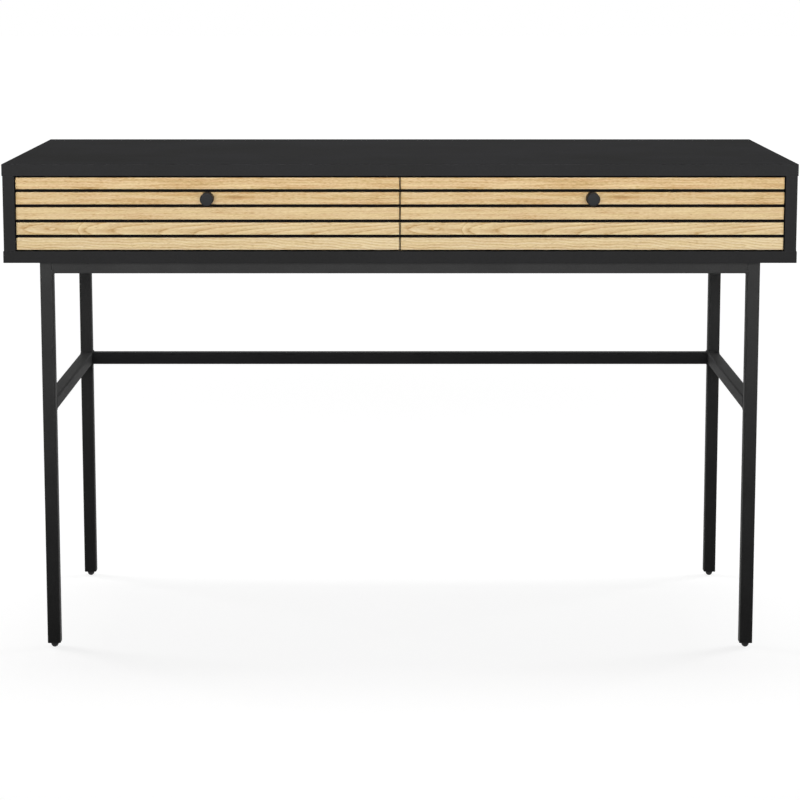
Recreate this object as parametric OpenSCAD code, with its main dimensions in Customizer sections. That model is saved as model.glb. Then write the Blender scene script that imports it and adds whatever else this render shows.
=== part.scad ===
// Writing desk: a wide, shallow case with two slatted drawers on a square steel tube frame.
// Millimetres. The origin lies on the floor under the middle of the whole desk, knobs included.
// +X runs to the right of the desk, -Y is its front and +Z is up.

/* [Desk] */
// Width over the top board
desk_w = 1200; // [1000:10:1500]
// Depth of the case from front to back, without the knobs
desk_d = 500; // [480:5:600]
// Height of the worktop over the floor
desk_h = 760; // [720:5:800]

/* [Case] */
// Height of the case over its top and bottom boards
case_h = 150; // [146:1:170]
// Thickness of the case boards
board_t = 18; // [16:1:19]
// How far the side boards stand back from the ends of the top board
side_inset = 1; // [0:0.5:4]
// Radius of the boards' edge banding
edge_r = 0.8; // [0.4:0.1:1.5]
// Thickness of the hardboard back
back_t = 3; // [3:0.5:4]
// Distance from the back edge of the case to the hardboard back
back_inset = 8; // [6:1:12]

/* [Frame] */
// Width of the square tube
tube_w = 20; // [20:1:30]
// Wall thickness of the tube
tube_wall = 1.5; // [1.2:0.1:2]
// Outer corner radius of the tube
tube_r = 2.5; // [2.2:0.1:3]
// Distance from each end of the top board to the legs
frame_side_inset = 50; // [20:5:100]
// Distance from the front of the case to the front legs
frame_front_inset = 30; // [10:1:50]
// Distance from the back of the case to the back legs
frame_back_inset = 20; // [10:1:50]
// Height of the stretchers' top over the floor
stretcher_top = 395; // [150:5:500]
// Height of the glides' feet under the tubes
glide_h = 8; // [7:1:14]

/* [Drawer fronts] */
// Number of oak slats on each front
slat_count = 5; // [4:1:6]
// Open gap between two slats
slat_gap = 4.6; // [3:0.1:5]
// How much less high the top slat is than the others
top_slat_less = 0.9; // [0:0.1:2]
// Thickness of a slat
slat_t = 6; // [5:1:8]
// Thickness of the board that carries the slats
carrier_t = 12; // [10:1:15]
// Gap beside each front, and between the two fronts
front_gap = 2; // [1.5:0.5:3]
// Gap above and below each front
front_gap_z = 2.25; // [2:0.25:3]
// Diameter of the knob
knob_d = 20; // [16:1:30]
// How far the knob stands out of the slats
knob_l = 22; // [18:1:35]

/* [Drawer boxes] */
// Thickness of the sides and back of a drawer box
box_t = 12; // [12:1:15]
// Length of a drawer box and of its slides
slide_l = 400; // [300:10:400]
// How far a drawer pulls out
drawer_travel = 300; // [200:10:300]
// Space between a drawer box and the board beside it, which the slide fills
slide_t = 12.5; // [12.5:0.1:13.5]

/* [Hidden] */
$fn = 48;
// Through cuts run this far past a face.
cut = 1;
steel_black = "#3a3a3c";
board_black = "#323233";
oak = "#dcbe8c";
zinc = "#b9bcc0";

// Case: the knobs take part of the whole depth, so the case lies a little behind the origin.
// The back and the drawer bottoms are sheets that reach into grooves.
divider_gap = 3;
front_y = (knob_l - desk_d) / 2;
back_y = front_y + desk_d;
case_z = desk_h - case_h;
inner_z0 = case_z + board_t;
inner_z1 = desk_h - board_t;
side_x1 = desk_w / 2 - side_inset;
side_x0 = side_x1 - board_t;
front_t = slat_t + carrier_t;
divider_y0 = front_y + front_t + divider_gap;
groove_clear = 0.2;
sheet_reach = 4.5;
back_sheet_gap = 0.5;
back_board_y = back_y - back_inset - back_t;

// Fittings that join the case boards: depths along each joint, and the sizes of the fittings.
dowel_inset = 70;
cam_inset = 110;
dowel_y = [front_y + dowel_inset, back_y - dowel_inset];
cam_y = [front_y + cam_inset, back_y - cam_inset];
dowel_r = 4;
dowel_l = 30;
dowel_in_flat = 11;
cam_r = 7.4;
cam_l = 12;
cam_below = 24;
cam_sunk = 0.2;
cam_clear = 0.1;
bolt_thread_r = 3;
bolt_thread_l = 11;
bolt_collar_r = 3.4;
bolt_collar_l = 14;
bolt_neck_r = 2.2;
bolt_head_l = 3.6;
bolt_bore_r = 4;
hole_deeper = 1;

// Slides, measured from the case board (u = 0) towards the drawer box (u = slide_t).
box_below = 10;
box_above = 20;
box_z0 = inner_z0 + box_below;
box_z1 = inner_z1 - box_above;
slide_z = (box_z0 + box_z1) / 2;
sheet_t = 1.2;
outer_half_h = 17.5;
outer_depth = 10.4;
lip_h = 1.6;
inner_half_h = 11.3;
inner_start = 4.4;
ball_r = 2.45;
ball_u = 6.4;
ball_z = (outer_half_h - sheet_t + inner_half_h) / 2;
ball_pitch = 16;
ball_count = 6;
cage_t = 0.6;
cage_u0 = 3;
cage_u1 = 9.1;
cage_l = 98;
box_y0 = front_y + front_t;
box_y1 = box_y0 + slide_l;
slide_set_back = 4;
slide_y0 = box_y0 + slide_set_back;
slide_y1 = slide_y0 + slide_l;
cage_clear = 1;
cage_y0 = slide_y0 + drawer_travel / 2 + cage_clear;
first_screw = 35;
last_screw = 45;
runner_screw_y = [slide_y0 + first_screw, slide_y0 + slide_l / 2, slide_y1 - last_screw];

// Drawer box on the right hand side; the left one is its mirror image.
front_x0 = front_gap / 2;
front_x1 = side_x0 - front_gap;
front_mid = (front_x0 + front_x1) / 2;
front_z0 = inner_z0 + front_gap_z;
front_z1 = inner_z1 - front_gap_z;
slat_h = (front_z1 - front_z0 + top_slat_less - (slat_count - 1) * slat_gap) / slat_count;
box_x0 = board_t / 2 + slide_t;
box_x1 = side_x0 - slide_t;
box_edge_r = 1;
slat_edge_r = 0.6;
bottom_t = 3;
bottom_up = 8;
bottom_z = box_z0 + bottom_up;
carrier_y = front_y + slat_t;
knob_slat = 2;

// Screws
wood_screw_r = 1.75;
screw_head_r = 3.5;
box_screw_l = 35;
cabinet_screw_l = 9.3;
pilot_deeper = 0.3;
drawer_screw_l = 11;
back_screw_inset = 20;
screw_tip_r = 0.3;
runner_hole_r = 2.05;
screw_clear = 0.05;
knob_screw_r = 2;
knob_screw_in = 12;
knob_hole_r = 2.25;

// Frame
frame_x = desk_w / 2 - frame_side_inset - tube_w / 2;
frame_y0 = front_y + frame_front_inset + tube_w / 2;
frame_y1 = back_y - frame_back_inset - tube_w / 2;
frame_mid_y = (frame_y0 + frame_y1) / 2;
rail_z = case_z - tube_w / 2;
stretcher_z = stretcher_top - tube_w / 2;
frame_bolt_pitch = 350;
frame_bolt_x = [-frame_bolt_pitch, 0, frame_bolt_pitch];
m6_r = 3;
m6_head_r = 5.25;
m6_head_l = 3.3;
m6_in_board = 12.5;
m6_hole_r = 3.3;
key_hole_r = 6.25;
insert_r = 5;
insert_l = 13;

SIDES = ["left", "right"];
DRAWER_PARTS = ["carrier", "knob", "knob_screw", "box_left", "box_right", "box_back",
                "box_bottom", "runners", "screws"];

// Lower edge, upper edge and middle of slat i, counted from the top.
function slat_z0(i) = front_z1 + top_slat_less - i * slat_h - (i - 1) * slat_gap;
function slat_z1(i) = i == 1 ? front_z1 : slat_z0(i) + slat_h;
function slat_mid(i) = (slat_z0(i) + slat_z1(i)) / 2;

// ---- Shared shapes ----

// A rectangle from the origin with four round corners.
module rounded_rect(w, h, r) {
    translate([r, 0]) square([w - 2 * r, h]);
    translate([0, r]) square([w, h - 2 * r]);
    for (x = [r, w - r], y = [r, h - r]) translate([x, y]) circle(r);
}

// An outline drawn with depth across and height up, carried along X.
module along_x(x0, x1) {
    translate([x0, 0, 0]) rotate([90, 0, 90]) linear_extrude(x1 - x0) children();
}

// An outline drawn with width across and height up, carried along Y.
module along_y(y0, y1) {
    translate([0, y1, 0]) rotate([90, 0, 0]) linear_extrude(y1 - y0) children();
}

// The right hand side as drawn, or its mirror image on the left.
module on_side(s) {
    if (s < 0) mirror([1, 0, 0]) children();
    else children();
}

module both_sides() {
    for (s = [-1, 1]) on_side(s) children();
}

// A cylinder along -Y whose first face lies at y = 0.
module towards_front(length, r) {
    rotate([90, 0, 0]) cylinder(h = length, r = r);
}

// A screw of length l below a flat head whose face is at z = 0, pointing down.
module countersunk_screw(l, clear = 0) {
    head_l = screw_head_r - wood_screw_r;
    tip_l = 4;
    difference() {
        union() {
            translate([0, 0, -head_l])
                cylinder(h = head_l, r1 = wood_screw_r + clear, r2 = screw_head_r + clear);
            translate([0, 0, tip_l - l]) cylinder(h = l - tip_l - head_l, r = wood_screw_r + clear);
            translate([0, 0, -l]) cylinder(h = tip_l, r1 = screw_tip_r + clear, r2 = wood_screw_r + clear);
        }
        if (clear == 0) cross_recess(4, 1.4);
    }
}

// A screw with a low round head on top of z = 0 and a shank of length l below it.
module pan_screw(l, head_l = 1.6) {
    tip_l = 2.5;
    difference() {
        union() {
            cylinder(h = head_l, r = screw_head_r);
            translate([0, 0, tip_l - l]) cylinder(h = l - tip_l, r = wood_screw_r);
            translate([0, 0, -l]) cylinder(h = tip_l, r1 = screw_tip_r, r2 = wood_screw_r);
        }
        translate([0, 0, head_l]) cross_recess(3.6, 1.1);
    }
}

// The cross that a driver fits, cut down from z = 0.
module cross_recess(span, deep) {
    slot = 0.9;
    for (turn = [0, 90]) rotate([0, 0, turn])
        translate([-span / 2, -slot / 2, -deep]) cube([span, slot, deep + cut]);
}

// ---- Case ----

// A flat board with every long and end edge rounded.
module flat_board(x0, x1, y0, y1, z0, z1) {
    intersection() {
        along_x(x0, x1) translate([y0, z0]) rounded_rect(y1 - y0, z1 - z0, edge_r);
        along_y(y0 - cut, y1 + cut) translate([x0, z0]) rounded_rect(x1 - x0, z1 - z0, edge_r);
    }
}

// An upright board with its front and back edges rounded.
module upright_board(x0, x1, y0, y1) {
    translate([x0, y0, inner_z0])
        linear_extrude(inner_z1 - inner_z0) rounded_rect(x1 - x0, y1 - y0, edge_r);
}

// Turns a joint drawn at the top of an upright, with z = 0 on the joint, to both of its ends.
module at_board_ends() {
    translate([0, 0, inner_z1]) children();
    translate([0, 0, inner_z0]) mirror([0, 0, 1]) children();
}

// Repeats a joint at the three uprights. Local x = 0 is the face that the cams are drilled in.
module at_uprights() {
    both_sides() translate([side_x0, 0, 0]) at_board_ends() children();
    translate([-board_t / 2, 0, 0]) at_board_ends() children();
}

module at_depths(depths) {
    for (y = depths) translate([board_t / 2, y, 0]) children();
}

// The holes of one joint in the upright: dowel holes, bolt bores and cam bores.
module upright_holes() {
    at_depths(dowel_y) translate([0, 0, dowel_in_flat - dowel_l - hole_deeper])
        cylinder(h = dowel_l - dowel_in_flat + hole_deeper + cut, r = dowel_r + screw_clear);
    at_depths(cam_y) {
        translate([0, 0, -cam_below]) cylinder(h = cam_below + cut, r = bolt_bore_r);
        translate([-board_t / 2 - cut, 0, -cam_below]) rotate([0, 90, 0])
            cylinder(h = cam_l + cam_sunk + 3 * cam_clear + cut, r = cam_r + cam_clear);
    }
}

// The holes of one joint in the flat board above or below it.
module flat_holes() {
    at_depths(dowel_y) translate([0, 0, -cut])
        cylinder(h = dowel_in_flat + hole_deeper + cut, r = dowel_r + screw_clear);
    at_depths(cam_y) translate([0, 0, -cut])
        cylinder(h = bolt_thread_l + hole_deeper + cut, r = bolt_thread_r + screw_clear);
}

// The hardboard back, or the groove that it sits in.
module back_sheet(clear = 0) {
    reach = sheet_reach + clear * 2.5;
    translate([-side_x0 - reach, back_board_y - clear, inner_z0 - reach])
        cube([2 * (side_x0 + reach), back_t + 2 * clear, inner_z1 - inner_z0 + 2 * reach]);
}

// Pilot holes of the cabinet runner screws, on the right hand side.
module cabinet_pilots() {
    at_slides() for (y = runner_screw_y) translate([0, y, 0]) rotate([0, 90, 0])
        translate([0, 0, sheet_t - cabinet_screw_l - pilot_deeper])
            cylinder(h = cabinet_screw_l + cut, r = wood_screw_r + screw_clear);
}

module top_panel() color(board_black) difference() {
    flat_board(-desk_w / 2, desk_w / 2, front_y, back_y, inner_z1, desk_h);
    at_uprights() flat_holes();
    back_sheet(groove_clear);
}

module bottom_panel() color(board_black) difference() {
    flat_board(-desk_w / 2, desk_w / 2, front_y, back_y, case_z, inner_z0);
    at_uprights() flat_holes();
    back_sheet(groove_clear);
    at_frame_bolts() translate([0, 0, case_z - cut])
        cylinder(h = insert_l + hole_deeper + cut, r = insert_r + screw_clear);
}

module side_panel(s) color(board_black) on_side(s) difference() {
    upright_board(side_x0, side_x1, front_y, back_y);
    translate([side_x0, 0, 0]) at_board_ends() upright_holes();
    back_sheet(groove_clear);
    cabinet_pilots();
}

module divider_panel() color(board_black) difference() {
    upright_board(-board_t / 2, board_t / 2, divider_y0, back_board_y - back_sheet_gap);
    translate([-board_t / 2, 0, 0]) at_board_ends() upright_holes();
    both_sides() cabinet_pilots();
}

module back_panel() color(board_black) back_sheet();

module panel_dowels() color("#d8b98a") at_uprights() at_depths(dowel_y)
    translate([0, 0, dowel_in_flat - dowel_l]) {
        bevel = 1;
        cylinder(h = bevel, r1 = dowel_r - bevel, r2 = dowel_r);
        translate([0, 0, bevel]) cylinder(h = dowel_l - 2 * bevel, r = dowel_r);
        translate([0, 0, dowel_l - bevel]) cylinder(h = bevel, r1 = dowel_r, r2 = dowel_r - bevel);
    }

// A cam: a disc with a cross for the driver, a pocket for the bolt's head and a slot for its neck.
module cam_locks() color(zinc) at_uprights() at_depths(cam_y)
    translate([cam_sunk - board_t / 2, 0, -cam_below]) difference() {
        head_clear = 0.4;
        head_r = bolt_collar_r + head_clear;
        neck_r = bolt_neck_r + head_clear;
        pocket_h = 6.4;
        rotate([0, 90, 0]) cylinder(h = cam_l, r = cam_r);
        translate([board_t / 2 - cam_sunk, 0, 0]) {
            translate([0, 0, -pocket_h / 2]) cylinder(h = pocket_h, r = head_r);
            translate([0, -head_r, -pocket_h / 2]) cube([board_t, 2 * head_r, pocket_h]);
            cylinder(h = cam_r + cut, r = neck_r);
            translate([0, -neck_r, 0]) cube([board_t, 2 * neck_r, cam_r + cut]);
        }
        rotate([0, -90, 0]) cross_recess(7, 2);
    }

module cam_bolts() color(zinc) at_uprights() at_depths(cam_y) {
    head_z = -cam_below - bolt_head_l / 2;
    cylinder(h = bolt_thread_l, r = bolt_thread_r);
    translate([0, 0, -bolt_collar_l]) cylinder(h = bolt_collar_l, r = bolt_collar_r);
    translate([0, 0, head_z]) cylinder(h = -bolt_collar_l - head_z, r = bolt_neck_r);
    translate([0, 0, head_z]) cylinder(h = bolt_head_l, r = bolt_collar_r);
}

// ---- Steel frame ----

module tube_section() translate([-tube_w / 2, -tube_w / 2]) difference() {
    inner_w = tube_w - 2 * tube_wall;
    rounded_rect(tube_w, tube_w, tube_r);
    translate([tube_wall, tube_wall]) rounded_rect(inner_w, inner_w, tube_r - tube_wall);
}

module leg(x, y) color(steel_black) translate([x, y, glide_h])
    linear_extrude(case_z - glide_h) tube_section();

module cross_tube(y, z) along_x(tube_w / 2 - frame_x, frame_x - tube_w / 2)
    translate([y, z]) tube_section();

module depth_tube(x, z) along_y(frame_y0 + tube_w / 2, frame_y1 - tube_w / 2)
    translate([x, z]) tube_section();

// Places of the bolts that hold the case, at floor height.
module at_frame_bolts() {
    for (x = frame_bolt_x, y = [frame_y0, frame_y1]) translate([x, y, 0]) children();
    for (x = [-frame_x, frame_x]) translate([x, frame_mid_y, 0]) children();
}

// Each bolt goes in through a wide hole below and passes a close hole in the upper wall.
module rail_bolt_holes() at_frame_bolts() {
    translate([0, 0, case_z - tube_w - cut]) cylinder(h = tube_w / 2 + cut, r = key_hole_r);
    translate([0, 0, rail_z]) cylinder(h = tube_w / 2 + cut, r = m6_hole_r);
}

module cross_rail(y) color(steel_black) difference() {
    cross_tube(y, rail_z);
    rail_bolt_holes();
}

module depth_rail(x) color(steel_black) difference() {
    depth_tube(x, rail_z);
    rail_bolt_holes();
}

// A plug in each tube end, with a half-round foot below it that has a small flat to stand on.
module leg_glides() color("#161617") both_sides() for (y = [frame_y0, frame_y1])
    translate([frame_x, y, 0]) {
        plug_clear = 0.1;
        plug_w = tube_w - 2 * tube_wall - 2 * plug_clear;
        plug_l = 18;
        dome_r = 5.9;
        flat_cut = 0.33;
        dome_mid = dome_r - flat_cut;
        intersection() {
            cylinder(h = dome_mid, r = dome_r + cut);
            translate([0, 0, dome_mid]) sphere(dome_r);
        }
        translate([0, 0, dome_mid]) cylinder(h = glide_h - dome_mid, r = dome_r);
        translate([-plug_w / 2, -plug_w / 2, glide_h])
            linear_extrude(plug_l) rounded_rect(plug_w, plug_w, tube_r - tube_wall);
    }

module frame_bolts() color(zinc) at_frame_bolts() translate([0, 0, case_z - tube_wall]) difference() {
    socket_r = 2.3;
    socket_l = 2;
    union() {
        translate([0, 0, -m6_head_l]) cylinder(h = m6_head_l, r = m6_head_r);
        cylinder(h = tube_wall + m6_in_board, r = m6_r);
    }
    translate([0, 0, -m6_head_l - cut]) cylinder(h = socket_l + cut, r = socket_r, $fn = 6);
}

module insert_nuts() color(zinc) at_frame_bolts() translate([0, 0, case_z]) difference() {
    cylinder(h = insert_l, r = insert_r);
    translate([0, 0, -cut]) cylinder(h = insert_l + 2 * cut, r = m6_r + screw_clear);
}

// ---- Slides ----

// The two slides of the right hand drawer: local x runs from the case board towards the box.
module at_slides() {
    translate([board_t / 2, 0, slide_z]) children();
    translate([side_x0, 0, slide_z]) mirror([1, 0, 0]) children();
}

// Drawn above and below the middle of the slide.
module above_and_below() {
    children();
    mirror([0, 1]) children();
}

// Places of the runner screws along one slide, with the screw pointing out of the case board.
module at_runner_screws(u) {
    for (y = runner_screw_y) translate([u, y, 0]) rotate([0, 90, 0]) children();
}

// A folded channel that opens towards the drawer, with lips that keep the balls in.
module cabinet_runners(s) color(zinc) on_side(s) at_slides() difference() {
    along_y(slide_y0, slide_y1) above_and_below() {
        square([sheet_t, outer_half_h]);
        translate([0, outer_half_h - sheet_t]) square([outer_depth, sheet_t]);
        translate([outer_depth - sheet_t, outer_half_h - sheet_t - lip_h]) square([sheet_t, lip_h + sheet_t]);
    }
    at_runner_screws(-cut) cylinder(h = sheet_t + 2 * cut, r = runner_hole_r);
}

// A folded channel that opens towards the case and runs inside the cabinet runner.
module drawer_runners(s) color(zinc) on_side(s) at_slides() difference() {
    along_y(slide_y0, slide_y1 - 2) above_and_below() {
        translate([slide_t - sheet_t, 0]) square([sheet_t, inner_half_h]);
        translate([inner_start, inner_half_h - sheet_t]) square([slide_t - inner_start, sheet_t]);
    }
    at_runner_screws(slide_t - sheet_t - cut) cylinder(h = sheet_t + 2 * cut, r = runner_hole_r);
}

module at_balls() {
    for (i = [0:ball_count - 1], z = [-ball_z, ball_z])
        translate([ball_u, cage_y0 + (cage_l - (ball_count - 1) * ball_pitch) / 2 + i * ball_pitch, z])
            children();
}

// A U-shaped strip between the runners, with a hole for each ball.
module ball_cages(s) color("#c9ccd0") on_side(s) at_slides() difference() {
    along_y(cage_y0, cage_y0 + cage_l) above_and_below() {
        square_top = ball_z + cage_t / 2;
        translate([cage_u0, 0]) square([cage_t, square_top]);
        translate([cage_u0, square_top - cage_t]) square([cage_u1 - cage_u0, cage_t]);
    }
    at_balls() translate([0, 0, -cage_t]) cylinder(h = 2 * cage_t, r = ball_r + 0.05);
}

module slide_balls(s) color("#d9dbde") on_side(s) at_slides() at_balls() sphere(ball_r, $fn = 24);

module cabinet_runner_screws() color(zinc) both_sides() at_slides() at_runner_screws(sheet_t)
    pan_screw(cabinet_screw_l);

// ---- Drawers ----

// Places of the screws that hold the carrier to the box sides, on the carrier's front face.
module at_carrier_screws() {
    for (x = [box_x0 + box_t / 2, box_x1 - box_t / 2], i = [2, slat_count - 1])
        translate([x, carrier_y, slat_mid(i)]) rotate([90, 0, 0]) children();
}

// Places of the screws that hold the box back, on the outer faces of the box sides.
module at_back_screws() {
    for (z = [box_z0 + back_screw_inset, box_z1 - back_screw_inset]) {
        translate([box_x0, box_y1 - box_t / 2, z]) rotate([0, -90, 0]) children();
        translate([box_x1, box_y1 - box_t / 2, z]) rotate([0, 90, 0]) children();
    }
}

// The hardboard bottom, or the groove that holds it on all four sides.
module bottom_sheet(clear = 0) {
    reach = sheet_reach + clear * 2.5;
    translate([box_x0 + box_t - reach, box_y0 - reach, bottom_z - clear])
        cube([box_x1 - box_x0 - 2 * box_t + 2 * reach, box_y1 - box_t - box_y0 + 2 * reach,
              bottom_t + 2 * clear]);
}

// Places children on the axis of the knob, at the front face of the slats.
module at_knob() {
    translate([front_mid, front_y, slat_mid(knob_slat)]) children();
}

module drawer_carrier(s) color("#1b1a19") on_side(s) difference() {
    translate([front_x0, carrier_y, front_z0]) cube([front_x1 - front_x0, carrier_t, front_z1 - front_z0]);
    at_carrier_screws() countersunk_screw(box_screw_l, screw_clear);
    bottom_sheet(groove_clear);
    at_knob() translate([0, front_t + cut, 0]) towards_front(front_t + 2 * cut, knob_hole_r);
}

module drawer_slat(s, i) color(oak) on_side(s) difference() {
    along_x(front_x0, front_x1) translate([front_y, slat_z0(i)])
        rounded_rect(slat_t, slat_z1(i) - slat_z0(i), slat_edge_r);
    at_knob() translate([0, front_t, 0]) towards_front(front_t + cut, knob_hole_r);
}

// A turned knob with a small radius round its front face.
module drawer_knob(s) color("#3c3c3e") on_side(s) at_knob() difference() {
    rim = 1;
    rotate([90, 0, 0]) rotate_extrude($fn = 96) {
        square([knob_d / 2 - rim, knob_l]);
        square([knob_d / 2, knob_l - rim]);
        translate([knob_d / 2 - rim, knob_l - rim]) intersection() {
            circle(rim);
            square(2 * rim);
        }
    }
    translate([0, cut, 0]) towards_front(knob_screw_in + cut + 1, knob_screw_r + screw_clear);
}

module drawer_knob_screw(s) color(zinc) on_side(s) at_knob() translate([0, front_t, 0]) difference() {
    head_l = 2.4;
    union() {
        towards_front(front_t + knob_screw_in, knob_screw_r);
        translate([0, head_l, 0]) towards_front(head_l, 4);
    }
    translate([0, head_l, 0]) rotate([-90, 0, 0]) cross_recess(4, 1.4);
}

// A box side with its upper and lower edges eased.
module box_side(x0) difference() {
    along_y(box_y0, box_y1) translate([x0, box_z0]) rounded_rect(box_t, box_z1 - box_z0, box_edge_r);
    at_carrier_screws() countersunk_screw(box_screw_l, screw_clear);
    at_back_screws() countersunk_screw(box_screw_l, screw_clear);
    bottom_sheet(groove_clear);
    at_slides() at_runner_screws(slide_t - cut)
        cylinder(h = drawer_screw_l + cut, r = wood_screw_r + screw_clear);
}

module drawer_box_left(s) color(board_black) on_side(s) box_side(s > 0 ? box_x0 : box_x1 - box_t);

module drawer_box_right(s) color(board_black) on_side(s) box_side(s > 0 ? box_x1 - box_t : box_x0);

module drawer_box_back(s) color(board_black) on_side(s) difference() {
    along_x(box_x0 + box_t, box_x1 - box_t)
        translate([box_y1 - box_t, box_z0]) rounded_rect(box_t, box_z1 - box_z0, box_edge_r);
    at_back_screws() countersunk_screw(box_screw_l, screw_clear);
    bottom_sheet(groove_clear);
}

module drawer_box_bottom(s) color(board_black) on_side(s) bottom_sheet();

module drawer_screws(s) color(zinc) on_side(s) {
    at_carrier_screws() countersunk_screw(box_screw_l);
    at_back_screws() countersunk_screw(box_screw_l);
    at_slides() at_runner_screws(slide_t - sheet_t) mirror([0, 0, 1]) pan_screw(drawer_screw_l);
}

// ---- Nodes ----

top_panel();
bottom_panel();
side_panel(-1);  // left_side_panel
side_panel(1);  // right_side_panel
divider_panel();
back_panel();
panel_dowels();
cam_locks();
cam_bolts();
leg(-frame_x, frame_y0);  // front_left_leg
leg(frame_x, frame_y0);  // front_right_leg
leg(-frame_x, frame_y1);  // back_left_leg
leg(frame_x, frame_y1);  // back_right_leg
cross_rail(frame_y0);  // front_rail
cross_rail(frame_y1);  // back_rail
depth_rail(-frame_x);  // left_rail
depth_rail(frame_x);  // right_rail
color(steel_black) depth_tube(-frame_x, stretcher_z);  // left_stretcher
color(steel_black) depth_tube(frame_x, stretcher_z);  // right_stretcher
color(steel_black) cross_tube(frame_y1, stretcher_z);  // back_stretcher
leg_glides();
frame_bolts();
insert_nuts();
cabinet_runner_screws();

for (s = [-1, 1]) {
    side = SIDES[(s + 1) / 2];
    drawer = str(side, "_drawer_");
    cabinet_runners(s);
    ball_cages(s);
    slide_balls(s);
    drawer_carrier(s);
    drawer_knob(s);
    drawer_knob_screw(s);
    drawer_box_left(s);
    drawer_box_right(s);
    drawer_box_back(s);
    drawer_box_bottom(s);
    drawer_runners(s);
    drawer_screws(s);
    for (i = [1:slat_count])
        drawer_slat(s, i);
}
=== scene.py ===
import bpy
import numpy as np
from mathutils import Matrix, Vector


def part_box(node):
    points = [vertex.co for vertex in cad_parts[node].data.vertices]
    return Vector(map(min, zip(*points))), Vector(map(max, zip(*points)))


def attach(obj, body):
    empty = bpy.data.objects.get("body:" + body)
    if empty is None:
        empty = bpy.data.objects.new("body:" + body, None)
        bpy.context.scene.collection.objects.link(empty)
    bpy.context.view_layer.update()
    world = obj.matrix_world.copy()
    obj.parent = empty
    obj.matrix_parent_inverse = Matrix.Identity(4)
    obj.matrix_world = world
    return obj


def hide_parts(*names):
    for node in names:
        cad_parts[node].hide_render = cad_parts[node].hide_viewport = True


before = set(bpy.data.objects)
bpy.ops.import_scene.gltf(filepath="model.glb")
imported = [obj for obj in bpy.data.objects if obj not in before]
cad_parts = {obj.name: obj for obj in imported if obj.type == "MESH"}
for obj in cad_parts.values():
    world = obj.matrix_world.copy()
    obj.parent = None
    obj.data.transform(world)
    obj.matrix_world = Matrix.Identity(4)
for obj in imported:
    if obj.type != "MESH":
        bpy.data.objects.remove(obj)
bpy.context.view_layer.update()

# A writing desk: a black case with two slatted oak drawers, on a welded frame of square steel tube.
# All is in metres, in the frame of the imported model: the origin is on the floor under the middle of the
# desk, +X runs to the right of the desk, -Y is its front and +Z is up.


# ---- Legs, rails and stretchers ----
# Eleven lengths of square steel tube, sawn square, butted and welded into one frame, then blasted and
# sprayed with black polyester powder that is baked on.

MM = 0.001


def linear(code):
    """An sRGB hex code turned to linear red, green and blue, with an alpha of 1."""
    srgb = np.array([int(code[i:i + 2], 16) for i in (1, 3, 5)]) / 255
    light = np.where(srgb <= 0.04045, srgb / 12.92, ((srgb + 0.055) / 1.055) ** 2.4)
    return (*light.tolist(), 1.0)


def new_material(name, code, roughness, **shader_sockets):
    """A node material and its shader. What is the same all over is set on the shader's own sockets."""
    material = bpy.data.materials.new(name)
    material.use_nodes = True
    shader = material.node_tree.nodes["Principled BSDF"]
    shader.inputs["Base Color"].default_value = linear(code)
    shader.inputs["Roughness"].default_value = roughness
    for socket, value in shader_sockets.items():
        shader.inputs[socket.replace("_", " ")].default_value = value
    return material, shader


def add(material, kind, sockets, output=None, stops=(), **settings):
    """Adds a node and returns the output that is used. Each socket takes a value, or another node's output.
    The first two stops of a colour ramp are its ends, and the others are added to them."""
    tree = material.node_tree
    node = tree.nodes.new("ShaderNode" + kind)
    for name, value in settings.items():
        setattr(node, name, value)
    for name, value in sockets.items():
        socket = next(s for s in node.inputs if name in (s.identifier, s.name) and s.enabled)
        if isinstance(value, bpy.types.NodeSocket):
            tree.links.new(value, socket)
        else:
            socket.default_value = value
    for i, (place, shade) in enumerate(stops):
        stop = node.color_ramp.elements[i] if i < 2 else node.color_ramp.elements.new(place)
        stop.position = place
        stop.color = linear(shade) if isinstance(shade, str) else (shade, shade, shade, 1)
    return node.outputs[output] if output else next(s for s in node.outputs if s.enabled)


def apply_finish(material, shader, colour, roughness=None, normal=None):
    """Joins the outputs that hold the colour, roughness and relief to the shader."""
    for output, socket in ((colour, "Base Color"), (roughness, "Roughness"), (normal, "Normal")):
        if output is not None:
            material.node_tree.links.new(output, shader.inputs[socket])


def dress(material, *names):
    """Puts the material into the slots of these CAD nodes."""
    for name in names:
        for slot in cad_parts[name].material_slots:
            slot.material = material


def per_mm(size):
    """The scale at which a texture's features are about this many millimetres wide."""
    return 1 / (size * MM)


def coloured_edges(material, tone, radius, code):
    """The tone, changed to another colour on edges and corners sharper than the radius. A normal rounded
    over the radius leaves the true one there, so the cosine between the two falls below 1."""
    rounded = add(material, "Bevel", {"Radius": radius}, samples=4)
    true = add(material, "NewGeometry", {}, "Normal")
    cosine = add(material, "VectorMath", {"Vector": rounded, "Vector_001": true},
                 "Value", operation="DOT_PRODUCT")
    edge = add(material, "MapRange", {"Value": cosine, "From Min": 0.995, "From Max": 0.80})
    return add(material, "Mix", {"Factor_Float": edge, "A_Color": tone, "B_Color": linear(code)},
               data_type="RGBA")


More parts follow.
